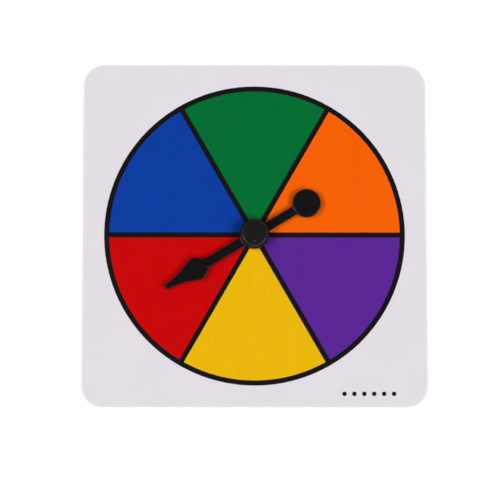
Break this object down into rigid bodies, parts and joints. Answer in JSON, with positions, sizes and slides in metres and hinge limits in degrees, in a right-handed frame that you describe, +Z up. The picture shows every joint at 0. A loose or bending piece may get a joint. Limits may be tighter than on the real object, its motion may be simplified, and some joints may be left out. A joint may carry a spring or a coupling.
{
  "type": "game spinner",
  "caption": "Flat square game board with rounded corners, a printed colour wheel in equal sectors, and a balanced pointer that spins freely on a central snap rivet.",
  "frame": {"origin": "on the pivot axis, at the underside of the rivet's flange, which the spinner stands on", "axes": "+Z up, out of the printed face along the pivot axis; +Y to the top edge of the printed face; +X to its right edge"},
  "size_m": [0.1016, 0.1016, 0.0085],
  "materials": {
    "board_white": "satin",
    "ink_orange": "screen-printed ink, semi-gloss",
    "ink_green": "screen-printed ink, semi-gloss",
    "ink_blue": "screen-printed ink, semi-gloss",
    "ink_red": "screen-printed ink, semi-gloss",
    "ink_yellow": "screen-printed ink, semi-gloss",
    "ink_purple": "screen-printed ink, semi-gloss",
    "ink_black": "screen-printed ink, semi-gloss",
    "pointer_black": "moulded, fine satin",
    "rivet_black": "moulded, fine matte"
  },
  "bodies": {
    "base": {"board": "board_white", "print_orange": "ink_orange", "print_green": "ink_green", "print_blue": "ink_blue", "print_red": "ink_red", "print_yellow": "ink_yellow", "print_purple": "ink_purple", "print_black": "ink_black", "rivet_base": "rivet_black", "rivet_cap": "rivet_black"},
    "pointer": {"pointer": "pointer_black"}
  },
  "joints": [
    {"name": "pointer_spin", "type": "hinge", "parent": "base", "child": "pointer", "pos_m": [0, 0, 0.0045], "axis": [0, 0, 1], "continuous": true}
  ]
}
